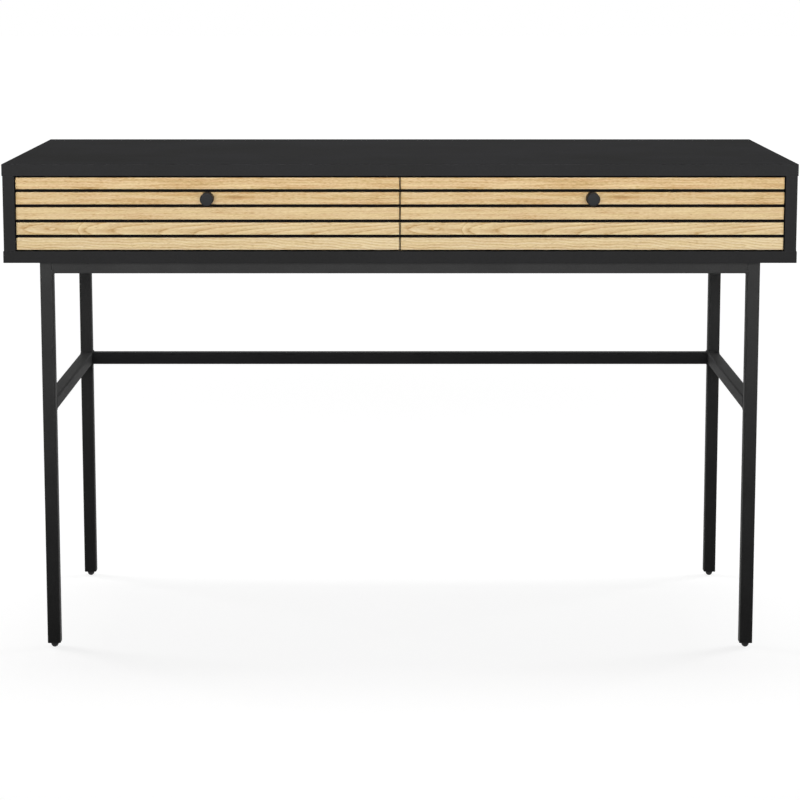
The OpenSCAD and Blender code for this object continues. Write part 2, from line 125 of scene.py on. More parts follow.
# Black polyester powder coat, baked: a matt, faintly grainy skin that is a little thinner and paler on the
# corners. Its grain of about 0.4 mm is drawn 1.6 mm wide, or it would not show.
def new_powder_coat(name, deep, pale, corner, shine):
    """A powder coat whose tone drifts between two greys, with its corners paler."""
    coat, shader = new_material(name, pale, 0.6, Specular_IOR_Level=shine)
    place = add(coat, "TexCoord", {}, "Object")
    grit = add(coat, "TexNoise", {"Vector": place, "Scale": per_mm(1.6), "Detail": 3.0, "Roughness": 0.6})
    cloud = add(coat, "TexNoise", {"Vector": place, "Scale": per_mm(70), "Detail": 2.0})
    cloud_tone = add(coat, "ValToRGB", {"Fac": cloud}, stops=[(0.3, deep), (0.7, pale)])
    grit_tone = add(coat, "ValToRGB", {"Fac": grit}, stops=[(0.35, 0.86), (0.65, 1.0)])
    coat_tone = add(coat, "Mix", {"Factor_Float": 1.0, "A_Color": cloud_tone, "B_Color": grit_tone},
                    data_type="RGBA", blend_type="MULTIPLY")
    corner_tone = coloured_edges(coat, coat_tone, 1.2 * MM, corner)
    gloss = add(coat, "MapRange", {"Value": grit, "To Min": 0.48, "To Max": 0.62})
    bump = add(coat, "Bump", {"Height": grit, "Distance": 0.05 * MM, "Strength": 0.6})
    apply_finish(coat, shader, corner_tone, gloss, bump)
    return coat


# The back legs, the back rail and the stretchers take a darker, duller copy of the coat. It is painted
# shade, standing in for the light that falls off towards the back under the case. The back stretcher takes
# the darkest copy.
powder_coat = new_powder_coat("black_powder_coat", "#3f3f3f", "#454545", "#505052", 0.04)
shaded_back_coat = new_powder_coat("shaded_black_powder_coat", "#373737", "#3c3c3c", "#464648", 0.024)
darkest_shaded_coat = new_powder_coat("darkest_shaded_black_powder_coat", "#29292a", "#2d2d2e", "#3f3f41", 0.014)

RAILS = ["front_rail", "back_rail", "left_rail", "right_rail"]
STRETCHERS = ["left_stretcher", "right_stretcher", "back_stretcher"]
PAINTED_SHADE_PARTS = ["back_left_leg", "back_right_leg", "back_rail", *STRETCHERS]
# A later coat takes the place of an earlier one.
dress(powder_coat, "front_left_leg", "front_right_leg", *RAILS)
dress(shaded_back_coat, *PAINTED_SHADE_PARTS)
dress(darkest_shaded_coat, "back_stretcher")


# ---- Weld beads ----
# Each rail and stretcher is welded to the legs all round its end. The bead stands in the corners above and
# below the tube, is dressed nearly flush on the faces that lie level with the leg, and is coated with the
# frame.

def skin(name, grid, material, looped=False, attributes=()):
    """A closed mesh over a grid of points, station by station. Every station is a ring, and neighbouring
    stations are joined by quads. The last station joins the first if looped, otherwise a flat face closes
    each end. The volume summed over the quads is below 0 if they face inwards, and then they are turned."""
    stations, points = grid.shape[:2]
    index = np.arange(stations * points).reshape(stations, points)
    following = np.roll(index, -1, axis=0)[:stations if looped else stations - 1]
    here = index[:len(following)]
    corners = [here, np.roll(here, -1, 1), np.roll(following, -1, 1), following]
    quads = np.stack(corners, -1).reshape(-1, 4)
    ends = [] if looped else [index[0][::-1].tolist(), index[-1].tolist()]
    faces = quads.tolist() + ends
    places = grid.reshape(-1, 3)
    a, b, c, d = (places[quads[:, i]] for i in range(4))
    volume = np.einsum("ij,ij->", a - places.mean(0), np.cross(b - a, c - a) + np.cross(c - a, d - a))
    if volume < 0:
        faces = [face[::-1] for face in faces]
    mesh = bpy.data.meshes.new(name)
    mesh.from_pydata(places.tolist(), [], faces)
    mesh.polygons.foreach_set("use_smooth", [True] * len(quads) + [False] * len(ends))
    for label, values in attributes:
        stored = mesh.attributes.new(label, "FLOAT_VECTOR", "POINT").data
        stored.foreach_set("vector", values.astype(np.float32).ravel())
    mesh.materials.append(material)
    piece = bpy.data.objects.new(name, mesh)
    bpy.context.scene.collection.objects.link(piece)
    return piece


def bead_grid(middle, along, half, flush):
    """Points of a weld bead round the end of a square tube whose axis runs along X or Y.

    The path is a square with round corners, found by pushing each point of a square out from a smaller one
    by the corner radius. A small circle is carried round it, and its radius swells once for each ripple.
    Where a side is flush with the leg, the circle sinks below the face and moves over the leg's corner.
    flush says how far it does so on the right, top, left and bottom, as seen along the tube."""
    corner = 2.5 * MM
    bead = 1.9 * MM
    sink = 1.45 * MM
    move = 0.9 * MM
    ripple = 2.1 * MM
    swelling = 0.07
    lag = 0.9
    ripple_steps = 6
    circle_steps = 10

    way_round = 8 * half
    ripples = round(way_round / ripple)
    turn = np.linspace(0, 2 * np.pi, ripples * ripple_steps, endpoint=False)[:, None]
    square = np.concatenate([np.cos(turn), np.sin(turn)], 1)
    square *= half / np.abs(square).max(1, keepdims=True)
    core = np.clip(square, corner - half, half - corner)
    out = (square - core) / np.linalg.norm(square - core, axis=1, keepdims=True)
    facing = np.concatenate([np.maximum(out, 0), np.maximum(-out, 0)], 1) ** 2
    share = (facing @ np.array(flush))[:, None]
    path = core + out * (corner - sink * share)

    angle = np.linspace(0, 2 * np.pi, circle_steps, endpoint=False)[None, :]
    swell = bead * (1 + swelling * np.cos(turn * ripples + lag * np.cos(angle)))
    level = path[:, :1] + out[:, :1] * np.cos(angle) * swell
    rise = path[:, 1:] + out[:, 1:] * np.cos(angle) * swell
    reach = swell * np.sin(angle) + move * share
    up = np.array((0, 0, 1))
    across = np.cross(along, up)
    return middle + level[..., None] * across + rise[..., None] * up + reach[..., None] * along


# A rail is level with the tops of the legs, so its bead is dressed off most on top.
RAIL_FLUSH = (1, 1.6, 1, 0)
STRETCHER_FLUSH = (1, 0, 1, 0)
for tube in RAILS + STRETCHERS:
    low, high = (np.array(corner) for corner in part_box(tube))
    axis = int(np.argmax(high - low))
    half = (high[2] - low[2]) / 2
    flush = RAIL_FLUSH if tube in RAILS else STRETCHER_FLUSH
    # The welds on the parts with painted shade take the same darker copy of the coat.
    coat = shaded_back_coat if tube in PAINTED_SHADE_PARTS else powder_coat
    for end, face, sign in (("a", low, -1), ("b", high, 1)):
        middle = (low + high) / 2
        middle[axis] = face[axis]
        along = np.zeros(3)
        along[axis] = sign
        bead = skin(f"{tube}_weld_{end}", bead_grid(middle, along, half, flush), coat, looped=True)
        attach(bead, "root")


# ---- Glides ----
# A moulded nylon plug is pressed into the open end of each leg. Its small domed foot keeps the sawn edge
# of the tube off the floor.

# Moulded black nylon: dull and waxy, with a fine sparked texture left by the mould, 0.2 mm wide in life
# and drawn 1 mm wide, and edges scuffed paler.
nylon, shader = new_material("moulded_nylon", "#19191a", 0.5, Specular_IOR_Level=0.3)
place = add(nylon, "TexCoord", {}, "Object")
spark = add(nylon, "TexNoise", {"Vector": place, "Scale": per_mm(1.0), "Detail": 2.0})
wax = add(nylon, "ValToRGB", {"Fac": spark}, stops=[(0.3, "#151516"), (0.7, "#1f1f20")])
scuff = coloured_edges(nylon, wax, 0.8 * MM, "#3a3a3a")
dull = add(nylon, "MapRange", {"Value": spark, "To Min": 0.42, "To Max": 0.6})
pits = add(nylon, "Bump", {"Height": spark, "Distance": 0.05 * MM, "Strength": 0.5})
apply_finish(nylon, shader, scuff, dull, pits)
dress(nylon, "leg_glides")


# ---- Case boards ----
# Top, bottom, two sides and a divider of 18 mm chipboard, pressed with black melamine paper on both faces
# and edged with a thin ironed band. Dowels place them and cam fittings pull them together.

# Melamine-faced board: an even, slightly cloudy black with a pearl texture pressed in, 0.7 mm wide in life
# and drawn 2.4 mm wide, and edges rubbed a little paler.
melamine, shader = new_material("black_melamine", "#323232", 0.95, Specular_IOR_Level=0.0)
place = add(melamine, "TexCoord", {}, "Object")
pearl = add(melamine, "TexNoise", {"Vector": place, "Scale": per_mm(2.4), "Detail": 3.0, "Roughness": 0.55})
haze = add(melamine, "TexNoise", {"Vector": place, "Scale": per_mm(140), "Detail": 3.0})
haze_tone = add(melamine, "ValToRGB", {"Fac": haze}, stops=[(0.3, "#323232"), (0.7, "#353536")])
pearl_tone = add(melamine, "ValToRGB", {"Fac": pearl}, stops=[(0.3, 0.90), (0.7, 1.0)])
board_tone = add(melamine, "Mix", {"Factor_Float": 1.0, "A_Color": haze_tone, "B_Color": pearl_tone},
                 data_type="RGBA", blend_type="MULTIPLY")
rubbed = coloured_edges(melamine, board_tone, 0.9 * MM, "#444447")
board_gloss = add(melamine, "MapRange", {"Value": pearl, "To Min": 0.84, "To Max": 0.96})
board_bump = add(melamine, "Bump", {"Height": pearl, "Distance": 0.12 * MM, "Strength": 0.6})
apply_finish(melamine, shader, rubbed, board_gloss, board_bump)
dress(melamine, "top_panel", "bottom_panel", "left_side_panel", "right_side_panel", "divider_panel")


def drawn_out_marks(material, place, sizes, start=(0, 0, 0), **noise_sockets):
    """Irregular marks drawn out in one direction. The place is scaled by a different amount on each axis,
    so that a mark is about this many millimetres long along X, Y and Z."""
    scaled = add(material, "Mapping", {"Vector": place, "Location": start,
                                       "Scale": tuple(per_mm(size) for size in sizes)})
    return add(material, "TexNoise", {"Vector": scaled, "Scale": 1.0, **noise_sockets})


# Turned beech: pale pink brown with short darker flecks, 0.7 mm wide and 5 mm long, along the dowel.
beech, shader = new_material("beech", "#d8b48a", 0.55)
place = add(beech, "TexCoord", {}, "Object")
fleck = drawn_out_marks(beech, place, (0.7, 0.7, 5), Detail=3.0)
fleck_tone = add(beech, "ValToRGB", {"Fac": fleck},
                 stops=[(0.3, "#b98d60"), (0.5, "#d8b48a"), (0.8, "#e4c7a2")])
fleck_bump = add(beech, "Bump", {"Height": fleck, "Distance": 0.08 * MM, "Strength": 0.4})
apply_finish(beech, shader, fleck_tone, normal=fleck_bump)
dress(beech, "panel_dowels")

# Die-cast zinc alloy: a cool, dull grey with a faintly flowed surface, its swirls about 1.5 mm wide.
die_casting, shader = new_material("die_cast_zinc", "#a3a5a8", 0.5, Metallic=1.0)
place = add(die_casting, "TexCoord", {}, "Object")
flow = add(die_casting, "TexNoise", {"Vector": place, "Scale": per_mm(1.5), "Detail": 4.0,
                                     "Distortion": 0.6})
flow_tone = add(die_casting, "ValToRGB", {"Fac": flow}, stops=[(0.3, "#8f9194"), (0.7, "#b2b4b7")])
flow_gloss = add(die_casting, "MapRange", {"Value": flow, "To Min": 0.38, "To Max": 0.6})
flow_bump = add(die_casting, "Bump", {"Height": flow, "Distance": 0.04 * MM, "Strength": 0.5})
apply_finish(die_casting, shader, flow_tone, flow_gloss, flow_bump)
dress(die_casting, "cam_locks")


# ---- Back sheet ----
# A 3 mm sheet of hardboard, painted black. It is held in grooves all round the back of the case and slid
# in before the last board goes on.

# Painted hardboard: a thin black coat that lets the pressed fibres show as short hairs lying every way.
# They are 0.3 mm wide in life and drawn 2 mm wide.
hardboard, shader = new_material("black_hardboard", "#2a2929", 0.7, Specular_IOR_Level=0.15)
place = add(hardboard, "TexCoord", {}, "Object")
hairs = add(hardboard, "TexNoise", {"Vector": place, "Scale": per_mm(2.0), "Detail": 4.0,
                                    "Roughness": 0.7, "Distortion": 2.0})
lying = add(hardboard, "TexNoise", {"Vector": place, "Scale": per_mm(90), "Detail": 2.0})
hair_tone = add(hardboard, "ValToRGB", {"Fac": hairs}, stops=[(0.3, "#232222"), (0.7, "#31302f")])
thin_tone = add(hardboard, "ValToRGB", {"Fac": lying}, stops=[(0.3, 0.86), (0.7, 1.0)])
fibre_tone = add(hardboard, "Mix", {"Factor_Float": 1.0, "A_Color": hair_tone, "B_Color": thin_tone},
                 data_type="RGBA", blend_type="MULTIPLY")
fibre_gloss = add(hardboard, "MapRange", {"Value": hairs, "To Min": 0.6, "To Max": 0.8})
fibre_bump = add(hardboard, "Bump", {"Height": hairs, "Distance": 0.1 * MM, "Strength": 0.5})
apply_finish(hardboard, shader, fibre_tone, fibre_gloss, fibre_bump)
dress(hardboard, "back_panel")


# ---- Frame bolts, inserts and screws ----
# M6 button head bolts go up through the rails into threaded inserts in the bottom board. Wood screws hold
# the runners and the drawer boxes, and one machine screw holds each knob. All are rolled or turned from
# steel and plated with bright zinc.

SIDES = ["left", "right"]

# Bright zinc plating: a bluish silver with a light haze, about 1.2 mm wide, and paler, rubbed edges.
zinc_plating, shader = new_material("zinc_plated_steel", "#b9bdc4", 0.32, Metallic=1.0)
place = add(zinc_plating, "TexCoord", {}, "Object")
bloom = add(zinc_plating, "TexNoise", {"Vector": place, "Scale": per_mm(1.2), "Detail": 3.0})
bloom_tone = add(zinc_plating, "ValToRGB", {"Fac": bloom}, stops=[(0.3, "#a6abb4"), (0.7, "#c6cad0")])
bright_edge = coloured_edges(zinc_plating, bloom_tone, 0.3 * MM, "#dfe2e6")
bloom_gloss = add(zinc_plating, "MapRange", {"Value": bloom, "To Min": 0.22, "To Max": 0.42})
bloom_bump = add(zinc_plating, "Bump", {"Height": bloom, "Distance": 0.02 * MM, "Strength": 0.4})
apply_finish(zinc_plating, shader, bright_edge, bloom_gloss, bloom_bump)
dress(zinc_plating, "cam_bolts", "frame_bolts", "insert_nuts", "cabinet_runner_screws",
      *[f"{side}_drawer_{part}" for side in SIDES for part in ("screws", "knob_screw")])


# ---- Slides ----
# Each drawer runs on two ball slides: channels rolled from galvanised strip, with hard steel balls between
# them in a pressed cage that travels half as far as the drawer.

# Rolled galvanised strip: a dull, cool silver with faint marks, 0.8 mm wide and 40 mm long, drawn out
# along the slide, and a spangle of flat patches 9 mm wide.
galvanised, shader = new_material("galvanised_strip", "#aeb1b5", 0.4, Metallic=1.0)
place = add(galvanised, "TexCoord", {}, "Object")
roll = drawn_out_marks(galvanised, place, (0.8, 40, 0.8), Detail=3.0)
patch = add(galvanised, "TexVoronoi", {"Vector": place, "Scale": per_mm(9)}, "Color")
roll_tone = add(galvanised, "ValToRGB", {"Fac": roll}, stops=[(0.3, "#9a9da1"), (0.7, "#bcbfc3")])
patch_tone = add(galvanised, "ValToRGB", {"Fac": patch}, stops=[(0.0, 0.9), (1.0, 1.0)])
strip_tone = add(galvanised, "Mix", {"Factor_Float": 1.0, "A_Color": roll_tone, "B_Color": patch_tone},
                 data_type="RGBA", blend_type="MULTIPLY")
roll_gloss = add(galvanised, "MapRange", {"Value": roll, "To Min": 0.3, "To Max": 0.5})
roll_bump = add(galvanised, "Bump", {"Height": roll, "Distance": 0.02 * MM, "Strength": 0.4})
apply_finish(galvanised, shader, strip_tone, roll_gloss, roll_bump)
dress(galvanised, *[f"{side}_{part}" for side in SIDES
                    for part in ("cabinet_runners", "drawer_runners", "ball_cages")])

# Ground bearing steel: nearly a mirror, with a film of oil that dulls it in patches 2.5 mm wide.
bearing_steel, shader = new_material("ground_bearing_steel", "#cfd1d4", 0.12, Metallic=1.0)
place = add(bearing_steel, "TexCoord", {}, "Object")
oil = add(bearing_steel, "TexNoise", {"Vector": place, "Scale": per_mm(2.5), "Detail": 2.0})
oil_tone = add(bearing_steel, "ValToRGB", {"Fac": oil}, stops=[(0.35, "#c2c1b8"), (0.65, "#d6d8db")])
oil_gloss = add(bearing_steel, "MapRange", {"Value": oil, "To Min": 0.05, "To Max": 0.25})
apply_finish(bearing_steel, shader, oil_tone, oil_gloss)
dress(bearing_steel, *[f"{side}_slide_balls" for side in SIDES])


# ---- Drawer boxes ----
# Sides and back of 12 mm board wrapped in dark paper foil, screwed together, with a hardboard bottom in
# grooves. The front end is the board that carries the slats, stained black so that it hides between them.

# Foil-wrapped board: printed paper with a fine texture drawn out along the drawer, slightly silky. Its
# threads are 0.5 mm wide in life and drawn 1.4 mm wide.
foil, shader = new_material("foil_wrapped_board", "#2b2b2c", 0.5, Specular_IOR_Level=0.25)
place = add(foil, "TexCoord", {}, "Object")
weft = drawn_out_marks(foil, place, (1.4, 22, 1.4), Detail=3.0)
weft_tone = add(foil, "ValToRGB", {"Fac": weft}, stops=[(0.3, "#262627"), (0.7, "#323233")])
folded = coloured_edges(foil, weft_tone, 0.8 * MM, "#454546")
weft_gloss = add(foil, "MapRange", {"Value": weft, "To Min": 0.42, "To Max": 0.58})
weft_bump = add(foil, "Bump", {"Height": weft, "Distance": 0.04 * MM, "Strength": 0.4})
apply_finish(foil, shader, folded, weft_gloss, weft_bump)

# Black-stained board: the stain soaks in unevenly, in spots about 3 mm wide, and leaves it dead matt.
stained, shader = new_material("black_stained_board", "#0f0e0d", 0.85, Specular_IOR_Level=0.1)
place = add(stained, "TexCoord", {}, "Object")
soak = add(stained, "TexNoise", {"Vector": place, "Scale": per_mm(3), "Detail": 5.0, "Roughness": 0.7})
soak_tone = add(stained, "ValToRGB", {"Fac": soak}, stops=[(0.3, "#0b0a0a"), (0.7, "#151312")])
soak_gloss = add(stained, "MapRange", {"Value": soak, "To Min": 0.78, "To Max": 0.92})
soak_bump = add(stained, "Bump", {"Height": soak, "Distance": 0.08 * MM, "Strength": 0.4})
apply_finish(stained, shader, soak_tone, soak_gloss, soak_bump)

for side in SIDES:
    dress(foil, *[f"{side}_drawer_box_{part}" for part in ("left", "right", "back")])
    dress(hardboard, f"{side}_drawer_box_bottom")
    dress(stained, f"{side}_drawer_carrier")


# ---- Oak slats ----
# Five strips of oak, 18 mm high and 6 mm thick, with eased edges, glued to each carrier with open gaps
# between them. Both fronts are cut from the same run, so the grain starts again on the right hand drawer.

# Sawn oak under matt lacquer: pale yellow brown. Each year ring begins with a darker line of open pores,
# pales at once after it and darkens slowly towards the next. Pores, 0.3 mm wide in life, are drawn 1 mm
# wide so that they show as short dashes. Each point holds its place in the plank, "grain", and its ring
# count, tone and contrast, "figure".
oak, shader = new_material("lacquered_oak", "#dcbf91", 0.52, Specular_IOR_Level=0.3)
grain = add(oak, "Attribute", {}, "Vector", attribute_name="grain")
figure = add(oak, "Attribute", {}, "Vector", attribute_name="figure")
ring_count, tone_here, contrast_here = (add(oak, "SeparateXYZ", {"Vector": figure}, part) for part in "XYZ")

# The rings: the ring count, with its edges made a little ragged, gives the shade within each ring.
ragged = drawn_out_marks(oak, grain, (28, 2.2, 2.2), Detail=3.0)
shift = add(oak, "MapRange", {"Value": ragged, "To Min": -0.07, "To Max": 0.07})
rings = add(oak, "Math", {"Value": ring_count, "Value_001": shift}, operation="ADD")
within = add(oak, "Math", {"Value": rings}, operation="FRACT")
ring_shade = add(oak, "ValToRGB", {"Fac": within},
                 stops=[(0.0, 0.27), (1.0, 0.27),
                        (0.03, 0.08), (0.07, 0.16), (0.15, 0.70), (0.35, 0.70), (0.7, 0.50)])
ring_swing = add(oak, "MapRange", {"Value": ring_shade, "To Min": -0.30, "To Max": 0.30})
ring_part = add(oak, "Math", {"Value": ring_swing, "Value_001": contrast_here}, operation="MULTIPLY")

# Streaks, broad bands and short dashes along the grain are added to the rings, and then the row's own tone.
streak = drawn_out_marks(oak, grain, (20, 1.0, 1.0), Detail=4.0, Roughness=0.65)
streak_part = add(oak, "MapRange", {"Value": streak, "From Min": 0.25, "From Max": 0.75,
                                    "To Min": -0.17, "To Max": 0.17})
band = drawn_out_marks(oak, grain, (120, 6, 6), Detail=2.0)
band_part = add(oak, "MapRange", {"Value": band, "From Min": 0.3, "From Max": 0.7,
                                  "To Min": -0.14, "To Max": 0.14})
dash = drawn_out_marks(oak, grain, (6, 0.9, 0.9), Detail=2.0)
dash_part = add(oak, "MapRange", {"Value": dash, "From Min": 0.3, "From Max": 0.7,
                                  "To Min": -0.15, "To Max": 0.15})
shade = ring_part
for part in (streak_part, band_part, dash_part, tone_here):
    shade = add(oak, "Math", {"Value": shade, "Value_001": part}, operation="ADD")
shade = add(oak, "MapRange", {"Value": shade, "From Min": -0.5, "From Max": 0.5})

# The shade picks the colour, which drifts between a pinker and a yellower oak.
warm = add(oak, "ValToRGB", {"Fac": shade},
           stops=[(0.0, "#a5733f"), (1.0, "#f0dcb6"),
                  (0.3, "#caa067"), (0.5, "#dbbb8c"), (0.72, "#e5cb9b")])
cool = add(oak, "ValToRGB", {"Fac": shade},
           stops=[(0.0, "#9e7a46"), (1.0, "#f3deb2"),
                  (0.3, "#c6a367"), (0.5, "#dbbf8c"), (0.72, "#e7cd98")])
hue = drawn_out_marks(oak, grain, (80, 5, 5), start=(7, 3, 1), Detail=2.0)
hue_part = add(oak, "MapRange", {"Value": hue, "From Min": 0.35, "From Max": 0.65})
wood = add(oak, "Mix", {"Factor_Float": hue_part, "A_Color": warm, "B_Color": cool}, data_type="RGBA")

# Open pores are darker dips. The lacquer lies a little duller on the dark streaks than on the pale ones.
pore = drawn_out_marks(oak, grain, (9, 1.0, 1.0), Detail=1.0)
open_pore = add(oak, "MapRange", {"Value": pore, "From Min": 0.66, "From Max": 0.78})
pored = add(oak, "Mix", {"Factor_Float": open_pore, "A_Color": wood, "B_Color": linear("#b08452")},
            data_type="RGBA")
lacquer = add(oak, "MapRange", {"Value": streak, "To Min": 0.62, "To Max": 0.45})
dip = add(oak, "Math", {"Value": streak, "Value_001": open_pore}, operation="SUBTRACT")
wood_bump = add(oak, "Bump", {"Height": dip, "Distance": 0.06 * MM, "Strength": 0.5})
apply_finish(oak, shader, pored, lacquer, wood_bump)

# The figure of each row from the top, in millimetres. Rings are counted from how far along the slat a point
# is ("along"), plus how far up ("pitch" apart), less the square of its distance from the axis of the arches
# over their spread. A spread of STRAIGHT leaves no arch, and a pitch of STRAIGHT no change on the way up.
# Clouds are darker patches: their middle, height, half length, half height and tone. The one on the third
# row, just below the knob, is the knob's painted shadow.
STRAIGHT = 1e9
NO_ARCH = dict(axis=[(0, 0)], spread=[(0, STRAIGHT)])
# The tones rise from the upper rows to the lower ones partly as painted light: the lower slats are painted
# paler to make up for the lamp's light falling off towards them.
ROWS = [
    dict(NO_ARCH, along=[(0, 0), (150, 0.7), (330, 0.2), (578, 1.1)], pitch=4.2, wave=0.12,
         tone=[(0, -0.035), (578, -0.045)], contrast=0.5,
         clouds_and_shadow=[(112, -7, 20, 2.5, -0.2), (250, 0, 45, 9, -0.08), (400, 2, 25, 6, -0.08),
                 (340, 5, 240, 1.5, -0.1)]),
    dict(NO_ARCH, along=[(0, 0), (250, 0.35), (300, 0.6), (336, 0.9), (372, 0.75), (405, 1.15), (440, 0.9),
                         (490, 1.3), (578, 1.0)], pitch=7.0, wave=0.08,
         tone=[(0, -0.05)], contrast=0.28,
         clouds_and_shadow=[(255, 5, 25, 5, -0.12), (334, 2, 20, 2.2, -0.3), (330, 6, 60, 3, -0.08),
                 (545, 0, 12, 6, -0.12)]),
    dict(NO_ARCH, along=[(0, 0), (200, 0.8), (400, 0.3), (578, 1.2)], pitch=2.7, wave=0.1,
         tone=[(0, 0.06)], contrast=0.5,
         # This cloud, just below the knob, is the knob's painted shadow.
         clouds_and_shadow=[(290, 8, 16, 5, -0.12)]),
    dict(along=[(0, -0.3), (9, 0.0), (28, 0.45), (44, 0.95), (47, 1.05), (55, 1.22), (62, 1.02), (66, 0.96),
                (92, 0.96), (100, 2.02), (104, 2.1), (141, 3.0), (213, 4.0), (265, 5.0), (307, 6.0),
                (370, 7.0), (436, 8.0), (492, 9.0), (578, 10.5)], pitch=STRAIGHT, wave=0.0,
         axis=[(0, -1), (60, -0.5), (100, -2), (150, -3), (216, -6), (265, -9), (330, -12), (578, -14)],
         spread=[(0, 13), (40, 8), (60, 6), (85, 8), (110, 13)],
         tone=[(0, 0.06), (60, 0.02), (100, 0.08), (578, 0.1)], contrast=1.1,
         clouds_and_shadow=[]),
    dict(NO_ARCH, along=[(0, 0), (100, 0.8), (280, 1.8), (380, 2.8), (460, 5.0), (578, 8.0)],
         pitch=4.2, wave=0.22,
         tone=[(0, 0.16), (300, 0.18), (420, 0.23), (578, 0.25)], contrast=1.1,
         clouds_and_shadow=[]),
]


def smooth_through(knots, at):
    """A smooth line near the given (place, value) knots: straight joins between them, averaged over a
    sliding width. The weights are a cosine squared, over a bell a little wider than that, so that they
    fall to nearly nothing at the ends."""
    width = 8.0
    bell_width = 1.1 * width
    samples = 9
    places, values = zip(*knots)
    offsets = np.linspace(-0.5, 0.5, samples) * width
    weights = np.cos(np.pi * offsets / bell_width) ** 2
    return sum(w * np.interp(at + o, places, values) for w, o in zip(weights, offsets)) / weights.sum()


def slat_attributes(row, grid, low, high):
    """Where each point lies in the plank, and its figure.

    u is how far along the slat a point is, v how far above its middle, and deep how far behind its face,
    in millimetres. The ring count is worked out as said above the rows, with two sine waves along the slat
    and a little for depth. The tone is the row's own plus a bell curve for each cloud, one of which is the
    knob's painted shadow."""
    long_wave, short_wave = 131, 47
    short_height = 0.6
    long_start = 1.7 * row
    ring_depth = 9
    rows_apart = 50 * MM

    figure = ROWS[row]
    u = (grid[..., 0] - low[0]) / MM
    v = (grid[..., 2] - (low[2] + high[2]) / 2) / MM
    deep = (grid[..., 1] - low[1]) / MM
    wave = figure["wave"] * (np.sin(2 * np.pi * u / long_wave + long_start)
                             + short_height * np.sin(2 * np.pi * u / short_wave + row))
    rings = smooth_through(figure["along"], u) + v / figure["pitch"] + wave + deep / ring_depth
    rings = rings - ((v - smooth_through(figure["axis"], u)) / smooth_through(figure["spread"], u)) ** 2
    tone = smooth_through(figure["tone"], u)
    for middle, height, half_length, half_height, cloud_tone in figure["clouds_and_shadow"]:
        from_middle = ((u - middle) / half_length) ** 2 + ((v - height) / half_height) ** 2
        tone = tone + cloud_tone * np.exp(-from_middle)
    contrast = np.full_like(u, figure["contrast"])
    in_plank = np.stack([u * MM, v * MM + rows_apart * row, deep * MM], -1)
    return [("grain", in_plank), ("figure", np.stack([rings, tone, contrast], -1))]


def outline_points(*stretches):
    """The stretches of an outline joined into one list of points. A stretch is a pair, of which either may
    be one number for all its points."""
    return np.concatenate([np.stack(np.broadcast_arrays(*stretch), -1) for stretch in stretches])


def slat_grid(low, high):
    """A rectangle with round corners, drawn in depth and height, carried straight along the slat. Each side
    is cut into short lengths, because the figure is stored on the points."""
    ease = 0.6 * MM
    station_step = 3 * MM
    corner_steps, face_steps, depth_steps = 4, 14, 3
    back_thinning = 4

    front, back = low[1], high[1]
    bottom, top = low[2], high[2]
    rise = np.linspace(bottom + ease, top - ease, face_steps + 1)[1:-1]
    depth = np.linspace(front + ease, back - ease, depth_steps + 1)[1:-1]
    angles = np.linspace(0, np.pi / 2, corner_steps + 1) + np.arange(4)[:, None] * np.pi / 2
    y_round, z_round = ease * np.cos(angles), ease * np.sin(angles)
    outline = outline_points((back - ease + y_round[0], top - ease + z_round[0]),
                             (depth[::-1], top),
                             (front + ease + y_round[1], top - ease + z_round[1]),
                             (front, rise[::-1]),
                             (front + ease + y_round[2], bottom + ease + z_round[2]),
                             (depth, bottom),
                             (back - ease + y_round[3], bottom + ease + z_round[3]),
                             (back, rise[::back_thinning]))
    stations = np.linspace(low[0], high[0], round((high[0] - low[0]) / station_step))
    x, y = np.meshgrid(stations, outline[:, 0], indexing="ij")
    z = np.broadcast_to(outline[:, 1], x.shape)
    return np.stack([x, y, z], -1)


for side in SIDES:
    for row in range(len(ROWS)):
        node = f"{side}_drawer_slat_{row + 1}"
        low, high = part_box(node)
        grid = slat_grid(low, high)
        slat = skin(f"{node}_oak", grid, oak, attributes=slat_attributes(row, grid, low, high))
        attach(slat, f"{side}_drawer")
        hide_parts(node)


# ---- Knobs ----
# A short steel cylinder turned on a lathe, its front edge rounded, lacquered black and held by one screw
# from inside the drawer.

low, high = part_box("left_drawer_knob")
knob_radius = (high[0] - low[0]) / 2
rim = 1.0 * MM

# Black lacquer over turned steel: the fine rings left by the tool, 0.1 mm apart in life and drawn 0.9 mm
# apart, show through the thin coat. The side and the rounded rim are painted darker than the face, as
# painted shade. Each point holds its radius, its distance from the back and its way round,
# "turned".
lacquered_metal, shader = new_material("black_lacquered_steel", "#2e2e30", 0.5, Specular_IOR_Level=0.12)
turned = add(lacquered_metal, "Attribute", {}, "Vector", attribute_name="turned")
tool_marks = drawn_out_marks(lacquered_metal, turned, (0.9, 0.9, 60), Detail=2.0)
place = add(lacquered_metal, "TexCoord", {}, "Object")
dust = add(lacquered_metal, "TexNoise", {"Vector": place, "Scale": per_mm(1.3), "Detail": 2.0})
face_tone = add(lacquered_metal, "ValToRGB", {"Fac": tool_marks},
                stops=[(0.3, "#18191b"), (0.7, "#202123")])
# The side's darker tone is painted shade.
shaded_side_tone = add(lacquered_metal, "ValToRGB", {"Fac": tool_marks},
                stops=[(0.3, "#101011"), (0.7, "#161617")])
from_axis = add(lacquered_metal, "SeparateXYZ", {"Vector": turned}, "X")
on_face = add(lacquered_metal, "MapRange", {"Value": from_axis, "From Min": knob_radius - 0.6 * rim,
                                            "From Max": knob_radius - 1.3 * rim})
tool_marks_and_shaded_side = add(lacquered_metal, "Mix", {"Factor_Float": on_face, "A_Color": shaded_side_tone,
                                         "B_Color": face_tone}, data_type="RGBA")
